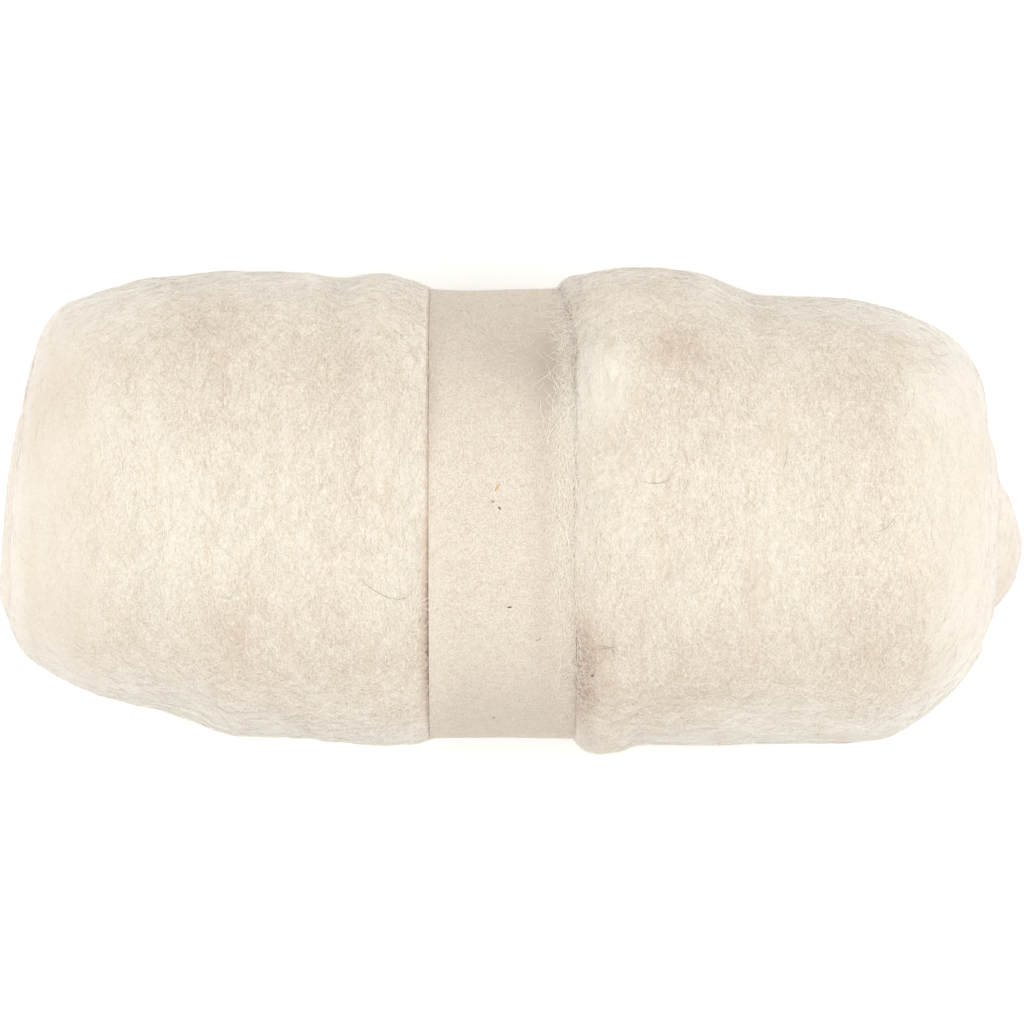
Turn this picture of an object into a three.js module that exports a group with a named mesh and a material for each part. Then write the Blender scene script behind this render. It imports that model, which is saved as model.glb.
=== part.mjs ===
// A rolled batt of carded wool, held round its middle by a plain paper band.
// Millimetres. X runs along the roll, +Y is its back, +Z is up from the surface it lies on.
import * as THREE from 'three';

// The paper band: where it starts and ends along the roll, and its outer reach.
const BAND = { left: -20.4, right: 15.0, back: 54.0, front: -55.7, top: 100.0, under: -2.0 };
const BAND_THICKNESS = 1.0;
const BAND_LIFT = 0.4; // the band's underside stays this far above the surface
const GAP = 0.3; // between the band and the wool

// The wool under the band follows the band's own section, a little smaller.
const INSET = BAND_THICKNESS + GAP;
const WAIST = {
  back: BAND.back - INSET,
  front: BAND.front + INSET,
  top: BAND.top - INSET,
  under: BAND.under + INSET,
};

// Sections of the roll from its left end to its right end. A section may slant, so its back and
// front points each have an x of their own. top and under are heights; the surface cuts off
// what would lie below it, which leaves the flat spot that the roll rests on.
const COLUMNS = ['backX', 'backY', 'frontX', 'frontY', 'top', 'under'];
const SECTIONS = [
  [-123.5, 0.4, -123.5, 0.4, 50, 50],
  [-122.4, 9.9, -124.2, -9.0, 59, 41],
  [-120.7, 19.7, -124.9, -19.9, 68, 32],
  [-118.3, 30.5, -123.4, -26.0, 76, 24],
  [-115.0, 42.5, -119.5, -34.2, 86, 14],
  [-109.6, 50.0, -111.5, -40.3, 92, 8],
  [-98.0, 54.6, -98.5, -45.9, 98, 2],
  [-83.0, 57.6, -83.0, -50.0, 102, -2],
  [-66.0, 58.2, -66.0, -55.5, 104, -3],
  [-50.0, 57.8, -50.0, -55.6, 105, -3],
  [-41.9, 56.2, -41.9, -56.8, 104, -3],
  [-32.0, 57.6, -32.0, -57.2, 105, -3],
  [-25.0, 56.1, -25.0, -57.0, 103, -3],
  [-21.2, 54.4, -21.2, -56.4, 101, -2],
  [BAND.left - GAP, WAIST.back, BAND.left - GAP, WAIST.front, WAIST.top, WAIST.under],
  [BAND.right + GAP, WAIST.back, BAND.right + GAP, WAIST.front, WAIST.top, WAIST.under],
  [15.8, 56.2, 15.8, -56.2, 102, -2],
  [18.0, 58.1, 18.0, -58.6, 104, -3],
  [22.0, 59.4, 22.0, -59.4, 106, -3],
  [32.0, 59.2, 32.0, -57.0, 106, -3],
  [46.0, 57.7, 46.0, -57.2, 105, -3],
  [53.0, 54.9, 53.0, -57.1, 104, -3],
  [61.0, 52.4, 61.0, -56.8, 102, -3],
  [80.0, 51.7, 80.0, -56.8, 102, -3],
  [90.0, 49.9, 90.0, -55.8, 100, -2],
  [99.7, 46.5, 99.7, -50.9, 97, 2],
  [109.3, 40.6, 109.3, -42.2, 90, 9],
  [114.4, 32.0, 114.4, -34.6, 82, 18],
  [116.6, 20.0, 116.8, -28.5, 74, 27],
  [119.3, 8.9, 119.8, -22.8, 66, 35],
  [122.5, 1.8, 123.2, -17.0, 59, 42],
  [124.8, -8.0, 124.8, -8.0, 50, 50],
].map((row) => Object.fromEntries(COLUMNS.map((name, i) => [name, row[i]])));

const SQUARENESS = 2.2; // a section's superellipse power: 2 is an ellipse, more is squarer
const WIDEST_AT = 0.47; // the roll is widest a little below half its height

// Soft humps and dents on the lobes: place along the roll, angle round it (0 is the back, 90 the
// top), reach and height.
const HUMPS = [
  { x: 23, angle: 55, reach: 9, height: 1.8 },
  { x: 55, angle: 75, reach: 16, height: -1.6 },
  { x: 82, angle: 105, reach: 18, height: 1.4 },
  { x: 60, angle: 150, reach: 14, height: -1.5 },
  { x: -60, angle: 62, reach: 17, height: -1.8 },
  { x: -82, angle: 110, reach: 18, height: 1.5 },
  { x: -45, angle: 125, reach: 13, height: 1.2 },
  { x: -72, angle: 160, reach: 15, height: -1.6 },
];

// The wound ends: the batt's turns lie side by side in a spiral, with a furrow between them.
const TURN = 12; // thickness of one turn
const FURROW_DEPTH = 4.5;
const FURROWS = { start: 4, full: 9, fade: 33, gone: 47 }; // radii between which they show

// The batt's outer edge ends on the lower back, in a soft step that follows the roll.
const TAIL = { angle: 326, start: 250, height: 3.2, softness: 10, wave: 3, waveLength: 95 };
const TAIL_ENDS = { full: 88, gone: 106 }; // the step fades out where the roll rounds over
const TAIL_CLEAR = { gone: 3, full: 14 }; // and beside the band

// How fine the solids are.
const SEGMENTS = 60; // round the roll
const STEP_ON_ENDS = 2.8;
const STEP_ALONG = 9;

const { degToRad, lerp, smoothstep } = THREE.MathUtils;

// Distance along the roll's skin to each section, the mean of its back line and its front line.
const stations = SECTIONS.reduce((sum, section, i) => {
  if (i === 0) return [0];
  const last = SECTIONS[i - 1];
  const back = Math.hypot(section.backX - last.backX, section.backY - last.backY);
  const front = Math.hypot(section.frontX - last.frontX, section.frontY - last.frontY);
  return [...sum, sum[i - 1] + (back + front) / 2];
}, []);

// Slope of one column at a section. It is zero at a turn, so that nothing overshoots the table.
function slopeAt(column, i) {
  const rise = (k) =>
    (SECTIONS[k + 1][column] - SECTIONS[k][column]) / (stations[k + 1] - stations[k]);
  if (i === 0) return rise(0);
  if (i === SECTIONS.length - 1) return rise(i - 1);
  const before = rise(i - 1);
  const after = rise(i);
  return before * after > 0 ? (2 * before * after) / (before + after) : 0;
}

// The section at share t of the way from section i to the next one.
function sectionBetween(i, t) {
  const span = stations[i + 1] - stations[i];
  const section = {};
  for (const column of COLUMNS) {
    const a = SECTIONS[i][column];
    const b = SECTIONS[i + 1][column];
    const rise = 2 * t ** 3 - 3 * t ** 2 + 1;
    const leave = (t ** 3 - 2 * t ** 2 + t) * span * slopeAt(column, i);
    const arrive = (t ** 3 - t ** 2) * span * slopeAt(column, i + 1);
    section[column] = a * rise + b * (1 - rise) + leave + arrive;
  }
  return section;
}

// A point of a section's outline. Angle 0 is the back, 90 degrees the top.
function outlinePoint(section, angle) {
  const across = Math.cos(angle);
  const up = Math.sin(angle);
  const rounded = (v) => Math.sign(v) * Math.abs(v) ** (2 / SQUARENESS);
  const middle = lerp(section.under, section.top, WIDEST_AT);
  const reach = up > 0 ? section.top - middle : middle - section.under;
  return new THREE.Vector3(
    lerp(section.frontX, section.backX, (1 + across) / 2),
    lerp(section.frontY, section.backY, (1 + rounded(across)) / 2),
    middle + reach * rounded(up),
  );
}

// Shortest way round from one angle to another, in degrees.
function turnBetween(from, to) {
  return THREE.MathUtils.euclideanModulo(to - from + 180, 360) - 180;
}

// How far the humps and the tail's step lift the skin at a place, in millimetres.
function lift(x, degrees, radius) {
  let height = 0;
  for (const hump of HUMPS) {
    const round = degToRad(turnBetween(hump.angle, degrees)) * radius;
    height += hump.height * Math.exp(-((x - hump.x) ** 2 + round ** 2) / hump.reach ** 2);
  }
  const edge = TAIL.angle + TAIL.wave * Math.sin((x / TAIL.waveLength) * 2 * Math.PI);
  const swell = smoothstep(degrees, TAIL.start, edge - TAIL.softness / 2);
  const drop = smoothstep(degrees, edge - TAIL.softness / 2, edge + TAIL.softness / 2);
  const ends = 1 - smoothstep(Math.abs(x), TAIL_ENDS.full, TAIL_ENDS.gone);
  const besideBand = Math.max(BAND.left - x, x - BAND.right);
  const clear = smoothstep(besideBand, TAIL_CLEAR.gone, TAIL_CLEAR.full);
  return height + TAIL.height * swell * (1 - drop) * ends * clear;
}

// How far the furrow between two turns sinks into the end of the roll.
function furrow(radius, degrees) {
  const turns = radius / TURN - (degrees - TAIL.angle) / 360;
  const groove = (0.5 + 0.5 * Math.cos(turns * 2 * Math.PI)) ** 2;
  const core = smoothstep(radius, FURROWS.start, FURROWS.full);
  const rim = 1 - smoothstep(radius, FURROWS.fade, FURROWS.gone);
  return FURROW_DEPTH * groove * core * rim;
}

function skinPoint(section, j) {
  const degrees = (j / SEGMENTS) * 360;
  const point = outlinePoint(section, degToRad(degrees));
  const radius = (section.backY - section.frontY) / 2;
  const middleY = (section.backY + section.frontY) / 2;
  const middleZ = (section.top + section.under) / 2;
  const outward = new THREE.Vector3(0, point.y - middleY, point.z - middleZ).normalize();
  const inBand = section.backX > BAND.left - 2 * GAP && section.backX < BAND.right + 2 * GAP;
  if (!inBand) point.addScaledVector(outward, lift(point.x, degrees, radius));
  point.x -= Math.sign(point.x) * furrow(radius, degrees);
  point.z = Math.max(point.z, inBand ? BAND_LIFT + INSET : 0);
  return point;
}

// A closed solid from rings of points, each with the same number of points. A ring of one
// point closes an end; without end points the last ring joins the first.
function solidFromRings(rings, isLoop) {
  const points = [];
  const first = rings.map((ring) => points.push(...ring) - ring.length);
  const vertex = (i, j) => first[i] + (rings[i].length === 1 ? 0 : j % rings[i].length);
  const index = [];
  for (let i = 0; i < (isLoop ? rings.length : rings.length - 1); i++) {
    const next = (i + 1) % rings.length;
    for (let j = 0; j < SEGMENTS; j++) {
      const corners = [vertex(i, j), vertex(i, j + 1), vertex(next, j + 1), vertex(next, j)];
      if (rings[i].length > 1) index.push(corners[0], corners[1], corners[3]);
      if (rings[next].length > 1) index.push(corners[1], corners[2], corners[3]);
    }
  }
  const geometry = new THREE.BufferGeometry().setFromPoints(points);
  geometry.setIndex(index);
  geometry.computeVertexNormals();
  return geometry;
}

function woolRoll() {
  const rings = [];
  for (let i = 0; i < SECTIONS.length - 1; i++) {
    const isEnd = Math.abs(SECTIONS[i].backX + SECTIONS[i + 1].backX) / 2 > TAIL_ENDS.full;
    const step = isEnd ? STEP_ON_ENDS : STEP_ALONG;
    const count = Math.ceil((stations[i + 1] - stations[i]) / step);
    for (let k = 0; k < count; k++) {
      const section = sectionBetween(i, k / count);
      rings.push(Array.from({ length: SEGMENTS }, (_, j) => skinPoint(section, j)));
    }
  }
  const [left, right] = [SECTIONS[0], SECTIONS[SECTIONS.length - 1]];
  rings[0] = [new THREE.Vector3(left.backX, left.backY, left.top)];
  rings.push([new THREE.Vector3(right.backX, right.backY, right.top)]);
  const wool = new THREE.MeshStandardMaterial({ color: 0xf3e8d6, roughness: 1, metalness: 0 });
  const mesh = new THREE.Mesh(solidFromRings(rings, false), wool);
  mesh.name = 'wool_roll';
  return mesh;
}

// One ring of the band at x, smaller than its outer face by inset.
function bandRing(x, inset) {
  const section = {
    backX: x,
    frontX: x,
    backY: BAND.back - inset,
    frontY: BAND.front + inset,
    top: BAND.top - inset,
    under: BAND.under + inset,
  };
  return Array.from({ length: SEGMENTS }, (_, j) => {
    const point = outlinePoint(section, (j / SEGMENTS) * 2 * Math.PI);
    point.z = Math.max(point.z, BAND_LIFT + inset);
    return point;
  });
}

function paperBand() {
  const rings = [
    bandRing(BAND.left, 0),
    bandRing(BAND.right, 0),
    bandRing(BAND.right, BAND_THICKNESS),
    bandRing(BAND.left, BAND_THICKNESS),
  ];
  const paper = new THREE.MeshStandardMaterial({ color: 0xe9d3bb, roughness: 0.95, metalness: 0 });
  const mesh = new THREE.Mesh(solidFromRings(rings, true), paper);
  mesh.name = 'band';
  return mesh;
}

const batt = new THREE.Group();
batt.add(woolRoll(), paperBand());

export default batt;
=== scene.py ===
"""A rolled batt of carded wool and its paper band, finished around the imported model."""
import math

import bmesh
import bpy
import numpy as np
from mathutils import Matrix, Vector
from mathutils.bvhtree import BVHTree


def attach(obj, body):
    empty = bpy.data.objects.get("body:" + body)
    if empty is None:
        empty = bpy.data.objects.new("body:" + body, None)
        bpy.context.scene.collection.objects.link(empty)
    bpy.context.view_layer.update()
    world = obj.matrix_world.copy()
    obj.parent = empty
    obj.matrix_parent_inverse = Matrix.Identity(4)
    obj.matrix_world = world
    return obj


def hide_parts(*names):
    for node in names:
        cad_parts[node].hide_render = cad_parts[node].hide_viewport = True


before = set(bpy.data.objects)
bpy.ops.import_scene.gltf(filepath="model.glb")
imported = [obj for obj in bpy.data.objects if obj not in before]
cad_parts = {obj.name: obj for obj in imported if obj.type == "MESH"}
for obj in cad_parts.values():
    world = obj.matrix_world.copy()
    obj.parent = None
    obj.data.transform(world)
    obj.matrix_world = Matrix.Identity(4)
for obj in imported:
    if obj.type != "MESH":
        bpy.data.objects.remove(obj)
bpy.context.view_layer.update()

MM = 0.001

# The roll's form is in millimetres, as it was measured. BAND has the band's edges along the roll and
# its outer face. The band keeps BAND_LIFT clear of the table, and the wool's waist lies INSET under
# its outer face.
BAND = dict(left=-20.0, right=15.4, back=54.0, front=-55.7, top=100.0, under=-2.0)
BAND_MIDDLE = np.array([0, (BAND["back"] + BAND["front"]) / 2, (BAND["top"] + BAND["under"]) / 2])
BAND_LIFT, INSET, SEAM = 0.4, 0.8, 0.03
WAIST = (BAND["back"] - INSET, BAND["front"] + INSET, BAND["top"] - INSET, BAND["under"] + INSET)
# The rows are sections from the left end to the right end. A slanting section has an x of its own at
# the back and at the front.
COLUMNS = ("back_x", "back_y", "front_x", "front_y", "top", "under")
SECTIONS = (
    (-123.5, 0.4, -123.5, 0.4, 50, 50),
    (-122.4, 9.9, -124.2, -9.0, 59, 41),
    (-120.7, 19.7, -124.9, -19.9, 68, 32),
    (-118.3, 30.5, -123.4, -26.0, 76, 24),
    (-115.0, 42.5, -119.5, -34.2, 86, 14),
    (-109.6, 50.0, -111.5, -40.3, 92, 8),
    (-98.0, 54.6, -98.5, -45.9, 98, 2),
    (-83.0, 57.6, -83.0, -50.0, 102, -2),
    (-66.0, 58.2, -66.0, -55.5, 104, -3),
    (-50.0, 57.8, -50.0, -55.6, 105, -3),
    (-41.9, 56.2, -41.9, -56.8, 104, -3),
    (-32.0, 57.6, -32.0, -57.2, 105, -3),
    (-25.0, 56.1, -25.0, -57.0, 102.6, -3),
    (-22.3, 54.8, -22.3, -56.3, 101.2, -3),
    (-20.04, 53.9, -20.04, -55.6, 99.9, -2),
    (BAND["left"] - SEAM, WAIST[0], BAND["left"] - SEAM, *WAIST[1:]),
    (BAND["right"] + SEAM, WAIST[0], BAND["right"] + SEAM, *WAIST[1:]),
    (15.47, 54.2, 15.47, -55.9, 100.0, -2),
    (18.2, 57.5, 18.2, -58.6, 101.4, -3),
    (22.0, 58.4, 22.0, -59.4, 103.4, -3),
    (26.5, 59.1, 26.5, -58.6, 105.0, -3),
    (32.0, 59.2, 32.0, -57.0, 106, -3),
    (46.0, 57.7, 46.0, -57.2, 105, -3),
    (53.0, 54.9, 53.0, -57.1, 104, -3),
    (61.0, 52.4, 61.0, -56.8, 102, -3),
    (80.0, 51.7, 80.0, -56.8, 102, -3),
    (90.0, 49.9, 90.0, -55.8, 100, -2),
    (99.7, 46.5, 99.7, -50.9, 97, 2),
    (109.3, 40.6, 109.3, -42.2, 90, 9),
    (114.4, 32.0, 114.4, -34.6, 82, 18),
    (116.4, 20.0, 116.2, -28.5, 74, 27),
    (118.9, 9.2, 118.8, -23.0, 66, 35),
    (121.8, 2.2, 122.4, -17.8, 59, 42),
    (124.8, -8.0, 124.8, -8.0, 50, 50),
)
# How square a section is, where 2 is an ellipse, and the share of its height at which it is widest.
SQUARENESS, WIDEST_AT = 2.2, 0.47

# Soft humps and dents: place along the roll, angle round it (0 the back, 90 the top), reach, height.
HUMPS = (
    (23, 55, 9, 1.8),
    (55, 75, 16, -1.6),
    (82, 105, 18, 1.4),
    (60, 150, 14, -1.5),
    (-60, 62, 17, -1.8),
    (-82, 110, 18, 1.5),
    (-45, 125, 13, 1.2),
    (-72, 160, 15, -1.6),
)

# The right lobe bulges over the band's edge at the back: how far over the paper, how high it stands
# and how far beyond the edge it rises, and its reach in degrees upwards and downwards. Small tufts
# carry on from it over the top.
LIP = dict(over=4.2, rise=3.6, beyond=3.0, up=46, down=34, tufts=0.13, front=118)
LIP_END = (17.5, 26)
LIP_STEPS, LIP_ACROSS = 260, 18

# The wound ends: the batt's thickness, the furrow between two turns, the radii between which it
# shows, and its share of depth beside, on the upper shoulders and above.
TURN, FURROW_DEPTH = 12.0, 4.0
FURROWS = dict(start=4, full=14, fade=25, gone=38)
FURROW_BESIDE, FURROW_SHOULDERS = 0.15, 0.28
FURROW_ABOVE = dict(left=0.3, right=0.15)

# The batt's loose outer edge, a soft wavy step. It fades at the ends and clear of the band.
TAIL = dict(angle=326, start=250, height=3.2, softness=6, wave=3, wave_length=95)
TAIL_ENDS = (88, 106)
TAIL_CLEAR = (3, 14)

# How fine the finished wool is, how far from its tips the rings start, and how softly its flat spot
# begins.
WOOL_RINGS, WOOL_SEGMENTS, TIP = 300, 220, 0.8
ROUND = np.arange(WOOL_SEGMENTS) / WOOL_SEGMENTS * 360
FLAT_ROUNDING = 1.2
# Small unevenness: width along the roll, steps round it and height of the ridges, and how far the
# furrow wavers, in turns, and the ends' surface.
RIDGES = ((1.9, 34, 0.10), (5.0, 18, 0.22), (13.0, 9, 0.45))
WAVER, TUMBLE = 0.16, 0.20
WAVER_SEED, TUMBLE_SEED = 174, 25

# The paper strip of the band: its thickness, where its lap starts and how far it goes, in degrees,
# and how deep it lies at the lap and elsewhere.
PAPER = 0.3
LAP_START, LAP = 250.0, 15.0
STRIP_STEPS, STRIP_ACROSS = 180, 60
STRIP_UNDER, STRIP_OVER = -0.58, -0.20

# The room and the camera, in metres. CAMERA_HEIGHT is above the roll's middle.
ROOM_LIGHT = 0.69
LEFT_LIGHT, RIGHT_LIGHT = 6.5, 7.0
LAMP_AWAY, LAMP_UP, LAMP_SIZE = 0.88, 1.0, (0.8, 1.1)
TABLE_HALF, TABLE_GLOW = 6.0, 0.15
ROLL_MIDDLE = 0.050
CAMERA_HEIGHT = 2.4
VIEW_WIDTH = 0.250
VIEW_MIDDLE = (0.0, -0.0004)


def smooth(value, low, high):
    """0 up to low, 1 from high on, and a soft rise between them."""
    t = np.clip((np.asarray(value, float) - low) / (high - low), 0, 1)
    return t * t * (3 - 2 * t)


class Form:
    """The roll's sections, read off at any distance along its skin."""

    def __init__(self, rows):
        """Keeps the distance of each section along the skin, and slopes that never overshoot."""
        rows = np.array(rows, float)
        back, front = np.diff(rows[:, 0:2], axis=0), np.diff(rows[:, 2:4], axis=0)
        steps = (np.linalg.norm(back, axis=1) + np.linalg.norm(front, axis=1)) / 2
        self.rows, self.steps = rows, steps
        self.stations = np.concatenate([[0], np.cumsum(steps)])
        rise = np.diff(rows, axis=0) / steps[:, None]
        both = rise[:-1] * rise[1:]
        mean = np.where(both > 0, 2 * both / np.where(both > 0, rise[:-1] + rise[1:], 1), 0)
        self.slopes = np.vstack([rise[:1], mean, rise[-1:]])

    def at(self, s):
        """Column name to values, at the distances s."""
        i = np.clip(np.searchsorted(self.stations, s, "right") - 1, 0, len(self.steps) - 1)
        span = self.steps[i][:, None]
        t = ((s - self.stations[i]) / self.steps[i])[:, None]
        keep = 2 * t**3 - 3 * t**2 + 1
        values = (
            self.rows[i] * keep
            + self.rows[i + 1] * (1 - keep)
            + (t**3 - 2 * t**2 + t) * span * self.slopes[i]
            + (t**3 - t**2) * span * self.slopes[i + 1]
        )
        return dict(zip(COLUMNS, values.T))


FORM = Form(SECTIONS)
# The four sections beside and under the band's two edges.
BAND_EDGES = FORM.stations[14:18]


def outline(section, angle):
    """Points (rings, segments, 3) of the sections' outlines, in millimetres."""
    column = {name: value[:, None] for name, value in section.items()}
    across, up = np.cos(angle)[None, :], np.sin(angle)[None, :]
    power = 2 / SQUARENESS
    round_across = np.sign(across) * np.abs(across) ** power
    round_up = np.sign(up) * np.abs(up) ** power
    middle = column["under"] + WIDEST_AT * (column["top"] - column["under"])
    reach = np.where(up > 0, column["top"] - middle, middle - column["under"])
    x = column["front_x"] + (column["back_x"] - column["front_x"]) * (1 + across) / 2
    y = column["front_y"] + (column["back_y"] - column["front_y"]) * (1 + round_across) / 2
    return np.stack([x + 0 * y, y, middle + reach * round_up], axis=-1)


NOISE_START, NOISE_LENGTH = -140, 290


def lattice_noise(x, degrees, width, round_steps, seed):
    """Smooth noise from -1 to 1 that closes on itself round the roll."""
    column = (x - NOISE_START) / width
    row = (degrees % 360) / 360 * round_steps
    i, j = np.floor(column).astype(int), np.floor(row).astype(int)
    u, v = column - i, row - j
    u, v = u * u * (3 - 2 * u), v * v * (3 - 2 * v)
    columns = int(NOISE_LENGTH / width) + 3
    table = np.random.default_rng(seed).uniform(-1, 1, (columns, round_steps))

    def value(a, b):
        return table[np.clip(a, 0, len(table) - 1), b % round_steps]

    low = value(i, j) * (1 - v) + value(i, j + 1) * v
    high = value(i + 1, j) * (1 - v) + value(i + 1, j + 1) * v
    return low * (1 - u) + high * u


def lift(x, degrees, radius):
    """How far the humps and the tail's step lift the skin."""
    height = np.zeros_like(x)
    for place_x, angle, reach, rise in HUMPS:
        round_it = np.radians((degrees - angle + 180) % 360 - 180) * radius
        height += rise * np.exp(-((x - place_x) ** 2 + round_it**2) / reach**2)
    edge = TAIL["angle"] + TAIL["wave"] * np.sin(x / TAIL["wave_length"] * 2 * math.pi)
    half = TAIL["softness"] / 2
    swell = smooth(degrees, TAIL["start"], edge - half)
    drop = smooth(degrees, edge - half, edge + half)
    ends = 1 - smooth(np.abs(x), *TAIL_ENDS)
    clear = smooth(np.maximum(BAND["left"] - x, x - BAND["right"]), *TAIL_CLEAR)
    return height + TAIL["height"] * swell * (1 - drop) * ends * clear


def lip_share(degrees):
    """1 in the middle of the bulge over the band's edge, little at the tufts, and 0 elsewhere."""
    turn = (degrees + 180) % 360 - 180
    bulge = np.clip(1 - np.where(turn > 0, turn / LIP["up"], -turn / LIP["down"]), 0, 1)
    tufts = 0.5 + 0.6 * lattice_noise(0 * turn, turn, 300, 150, 61)
    tufts *= smooth(turn, 20, LIP["up"]) * (1 - smooth(turn, LIP["front"] - 10, LIP["front"]))
    return np.maximum(bulge, LIP["tufts"] * np.maximum(tufts, 0))


def past_lip(x, degrees):
    """How far beyond the right lobe's near edge a point lies, on the roll's skin."""
    return x - BAND["right"] + LIP["over"] * lip_share(degrees)


def lip_height(x, degrees):
    """How high the wool stands over the paper near the band's right edge."""
    share = lip_share(degrees)
    over = np.maximum(LIP["over"] * share, 0.05)
    into = np.clip((x - BAND["right"] + over) / (over + LIP["beyond"]), 0, 1)
    return LIP["rise"] * share * np.sqrt(1 - (1 - into) ** 2) * (1 - smooth(x, *LIP_END))


def furrow(x, radius, degrees, waver):
    """How far the furrow between two turns sinks into the end of the roll: less at its sides and
    above, as it looks smooth from there."""
    turns = radius / TURN - (degrees - TAIL["angle"]) / 360 + waver
    groove = (0.5 + 0.5 * np.cos(turns * 2 * math.pi)) ** 4
    core = smooth(radius, FURROWS["start"], FURROWS["full"])
    rim = 1 - smooth(radius, FURROWS["fade"], FURROWS["gone"])
    above = np.where(x < 0, FURROW_ABOVE["left"], FURROW_ABOVE["right"])
    deepest = np.where(degrees < 180, above, 1)
    level = FURROW_BESIDE + (deepest - FURROW_BESIDE) * np.sin(np.radians(degrees)) ** 2
    level += np.where(degrees < 180, FURROW_SHOULDERS * np.sin(np.radians(2 * degrees)) ** 2, 0)
    return FURROW_DEPTH * groove * core * rim * level


def closed_mesh(name, rings):
    """A closed mesh from rings of points in millimetres. Both ends close in a point."""
    rings = np.asarray(rings) * MM
    count, segments = rings.shape[:2]
    grid = np.arange(count * segments).reshape(count, segments)
    beside = np.roll(grid, -1, axis=1)
    quads = np.stack([grid[:-1], beside[:-1], beside[1:], grid[1:]], axis=-1).reshape(-1, 4)
    tips = [rings[0].mean(axis=0), rings[-1].mean(axis=0)]
    points = np.vstack([rings.reshape(-1, 3), tips])
    first, last = count * segments, count * segments + 1
    faces = quads.tolist()
    faces += [(first, b, a) for a, b in zip(grid[0], beside[0])]
    faces += [(last, a, b) for a, b in zip(grid[-1], beside[-1])]
    mesh = bpy.data.meshes.new(name)
    mesh.from_pydata(points.tolist(), [], [tuple(int(k) for k in face) for face in faces])
    mesh.update()
    mesh.shade_smooth()
    return mesh


def place(name, mesh, *materials):
    """Puts the mesh into the scene as a piece at the origin."""
    piece = bpy.data.objects.new(name, mesh)
    bpy.context.scene.collection.objects.link(piece)
    for material in materials:
        mesh.materials.append(material)
    return piece


def joined(name, parts):
    """One mesh of several, which are used up."""
    whole = bmesh.new()
    for part in parts:
        whole.from_mesh(part)
        bpy.data.meshes.remove(part)
    mesh = bpy.data.meshes.new(name)
    whole.to_mesh(mesh)
    whole.free()
    mesh.shade_smooth()
    return mesh


def band_outline(degrees):
    """The band's outer form at the angles round it, and the way out of it at each."""
    values = (0, BAND["back"], 0, BAND["front"], BAND["top"], BAND["under"])
    section = {name: np.array([float(value)]) for name, value in zip(COLUMNS, values)}
    points = outline(section, np.radians(degrees))[0]
    outward = points - BAND_MIDDLE
    return points, outward / np.linalg.norm(outward, axis=-1, keepdims=True)


def wool_rings(inset, lapped=False):
    """Rings of the finished wool. inset is how far the waist is drawn in under the band's outer
    face. Where it is lapped, the form goes over the wool that lies on the band."""
    s = np.linspace(TIP, FORM.stations[-1] - TIP, WOOL_RINGS)
    s = np.unique(np.concatenate([s, BAND_EDGES, (BAND_EDGES[:-1] + BAND_EDGES[1:]) / 2]))
    section = FORM.at(s)
    points = outline(section, np.radians(ROUND))
    radius = ((section["back_y"] - section["front_y"]) / 2)[:, None]
    middle_y = ((section["back_y"] + section["front_y"]) / 2)[:, None]
    middle_z = ((section["top"] + section["under"]) / 2)[:, None]
    x, degrees = points[..., 0], ROUND[None, :] + 0 * radius
    outward = np.stack([0 * x, points[..., 1] - middle_y, points[..., 2] - middle_z], axis=-1)
    outward /= np.maximum(np.linalg.norm(outward, axis=-1, keepdims=True), 1e-9)
    in_band = (x > BAND["left"] - 1.5 * SEAM) & (x < BAND["right"] + 1.5 * SEAM)
    body = smooth(radius, 25, 50)
    rise = lift(x, degrees, radius)
    for k, (width, steps, height) in enumerate(RIDGES):
        rise = rise + height * lattice_noise(s[:, None] + 0 * x, degrees, width, steps, 11 + k) * body
    points += outward * np.where(in_band, INSET - inset, rise)[..., None]
    lip = lip_height(x, degrees)
    level = np.linalg.norm(band_outline(ROUND)[0] - BAND_MIDDLE, axis=-1)
    short = level + lip - np.linalg.norm((points - BAND_MIDDLE)[..., 1:], axis=-1)
    fill = (lip > 0) & (lapped | ~in_band)
    points += outward * np.where(fill, np.maximum(short, 0), 0)[..., None]
    waver = WAVER * lattice_noise(radius + 0 * x, degrees, 14, 5, WAVER_SEED)
    tumble = TUMBLE * lattice_noise(radius + 0 * x, degrees, 4, 22, TUMBLE_SEED)
    on_end = smooth(radius, 3, 9) * (1 - smooth(radius, 38, 50))
    points[..., 0] -= np.sign(x) * (furrow(x, radius, degrees, waver) + tumble * on_end)
    height = points[..., 2]
    rounded = (height + np.sqrt(height**2 + FLAT_ROUNDING**2)) / 2
    points[..., 2] = np.where(in_band, np.maximum(height, BAND_LIFT + inset), rounded)
    return points


# The node trees are written with these few helpers.
def feed(tree, socket, value):
    """Links a node's output to the socket, or sets the socket to a value."""
    if isinstance(value, bpy.types.NodeSocket):
        tree.links.new(value, socket)
    else:
        socket.default_value = value


def add(tree, kind, inputs=(), **settings):
    """A node with its settings. inputs gives values or sockets, by name or by place."""
    made = tree.nodes.new(kind)
    for name, value in settings.items():
        setattr(made, name, value)
    for key, value in dict(inputs).items():
        feed(tree, made.inputs[key], value)
    return made


def number(tree, operation, *values):
    return add(tree, "ShaderNodeMath", enumerate(values), operation=operation).outputs[0]


def vector(tree, operation, *values, **named):
    inputs = {**dict(enumerate(values)), **named}
    made = add(tree, "ShaderNodeVectorMath", inputs, operation=operation)
    return made.outputs["Value" if operation in ("DOT_PRODUCT", "LENGTH") else 0]


def turned(tree, what, axis, angle):
    """The vector turned by the angle about the axis."""
    made = add(tree, "ShaderNodeVectorRotate", {"Vector": what, "Axis": axis, "Angle": angle})
    return made.outputs[0]


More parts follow.
